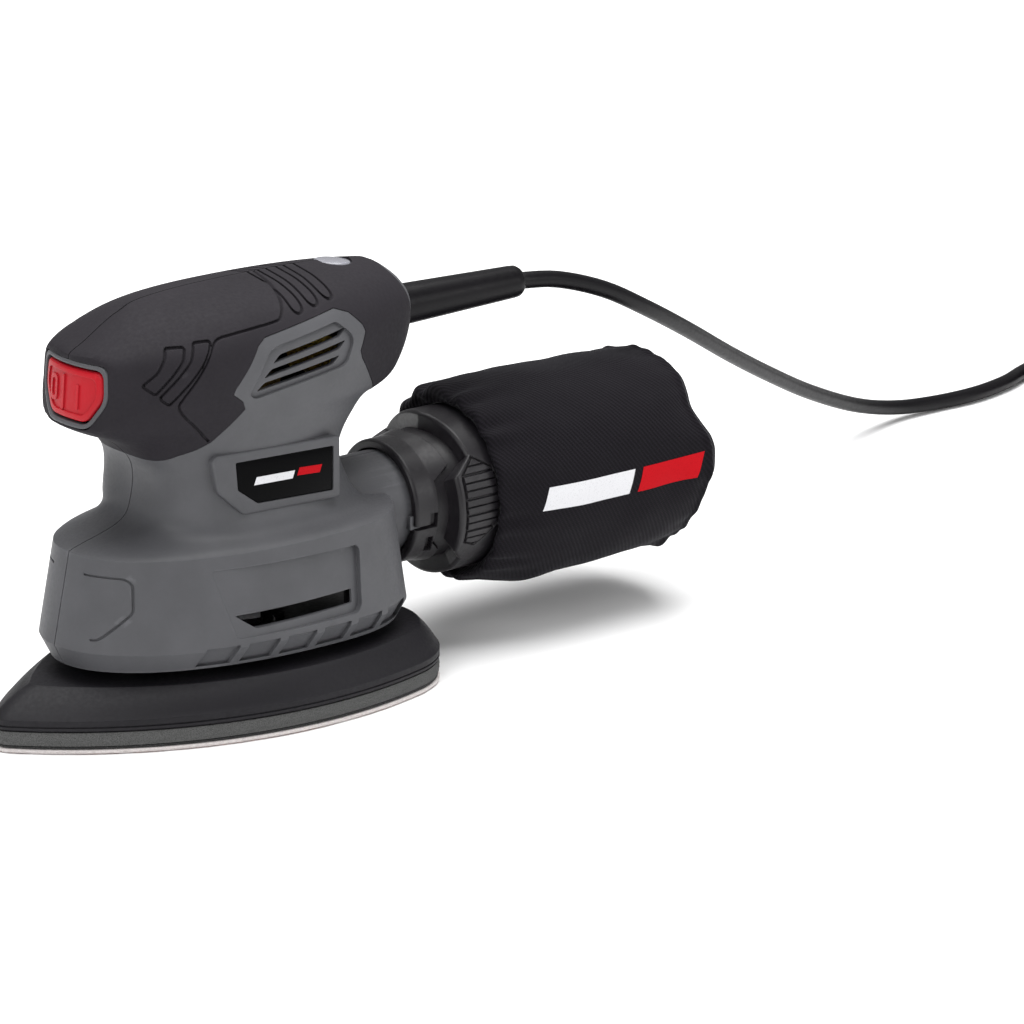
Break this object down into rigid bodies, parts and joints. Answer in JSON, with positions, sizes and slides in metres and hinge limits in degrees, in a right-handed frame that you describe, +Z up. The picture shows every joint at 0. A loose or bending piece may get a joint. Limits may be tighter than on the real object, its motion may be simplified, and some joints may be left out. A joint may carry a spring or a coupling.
{
  "type": "detail mouse sander",
  "caption": "Corded detail sander with an iron-shaped orbiting pad, soft-grip body, red nose rocker switch, bayonet dust port and cylindrical fabric dust bag.",
  "frame": {"origin": "middle of the sanding sheet's underside, on the surface that the sander stands on", "axes": "+Z up, -X towards the pad's tip, +X towards the dust bag and the cord, -Y the left side of the tool"},
  "size_m": [0.5973, 0.1462, 0.1229],
  "materials": {
    "housing_plastic": "fine spark texture, satin",
    "grip_rubber": "matte soft touch",
    "leg_rubber": "matte",
    "badge_gloss": "gloss",
    "lens": "clear",
    "screw_steel": "zinc plated",
    "black_plastic": "satin",
    "capacitor_case": "smooth",
    "button_red": "satin",
    "cord_sheath": "satin",
    "plug_pin": "nickel plated",
    "motor_steel": "bright",
    "winding": "enamelled copper wire",
    "brass": "bright",
    "carbon": "sooty",
    "cast_alloy": "as cast",
    "foam": "closed-cell foam",
    "hook": "hook pile",
    "abrasive": "pale velour back, reddish grit face",
    "bag_twill": "woven twill"
  },
  "bodies": {
    "housing": {"left_housing": "housing_plastic", "right_housing": "housing_plastic", "left_grip": "grip_rubber", "right_grip": "grip_rubber", "left_badge": "badge_gloss", "right_badge": "badge_gloss", "indicator_lens": "lens", "housing_screw_1": "screw_steel", "housing_screw_2": "screw_steel", "housing_screw_3": "screw_steel", "housing_screw_4": "screw_steel", "housing_screw_5": "screw_steel", "housing_screw_6": "screw_steel", "switch_body": "black_plastic", "capacitor": "capacitor_case", "strain_relief": "cord_sheath", "cable_clamp": "black_plastic", "clamp_screw_left": "screw_steel", "clamp_screw_right": "screw_steel", "cord": "cord_sheath", "cord_coil": "cord_sheath", "plug_body": "cord_sheath", "plug_pin_1": "plug_pin", "plug_pin_2": "plug_pin", "stator_core": "motor_steel", "field_coil_left": "winding", "field_coil_right": "winding", "bearing_plate": "cast_alloy", "lower_bearing": "motor_steel", "upper_bearing": "motor_steel", "upper_bracket": "black_plastic", "brush_holder_left": "brass", "brush_holder_right": "brass", "carbon_brush_left": "carbon", "carbon_brush_right": "carbon"},
    "rotor": {"armature_shaft": "motor_steel", "armature_core": "motor_steel", "armature_winding_lower": "winding", "armature_winding_upper": "winding", "commutator": "brass", "fan": "black_plastic", "eccentric": "motor_steel"},
    "pad": {"platen": "black_plastic", "drive_bearing": "motor_steel", "flexible_leg_1": "leg_rubber", "flexible_leg_2": "leg_rubber", "flexible_leg_3": "leg_rubber", "flexible_leg_4": "leg_rubber", "foam_pad": "foam", "hook_layer": "hook", "sanding_sheet": "abrasive"},
    "rocker": {"rocker_button": "button_red"},
    "adapter": {"dust_adapter": "black_plastic"},
    "bag": {"bag_collar": "black_plastic", "dust_bag": "bag_twill"}
  },
  "joints": [
    {"name": "motor_spin", "type": "hinge", "parent": "housing", "child": "rotor", "pos_m": [0.002, 0, 0.06], "axis": [0, 0, 1], "continuous": true},
    {"name": "pad_orbit", "type": "hinge", "parent": "rotor", "child": "pad", "pos_m": [0.0028, 0, 0.0165], "axis": [0, 0, 1], "continuous": true},
    {"name": "switch_rock", "type": "hinge", "parent": "housing", "child": "rocker", "pos_m": [-0.043, 0, 0.0995], "axis": [0, 0, 1], "range_deg": [-5, 5]},
    {"name": "bag_twist", "type": "hinge", "parent": "housing", "child": "adapter", "pos_m": [0.065, 0, 0.046], "axis": [1, 0, 0], "range_deg": [0, 25]},
    {"name": "bag_pull", "type": "slide", "parent": "adapter", "child": "bag", "axis": [1, 0, 0], "range_m": [0, 0.01]}
  ],
  "couplings": [
    {"joint": "pad_orbit", "follows": "motor_spin", "ratio": -1}
  ]
}
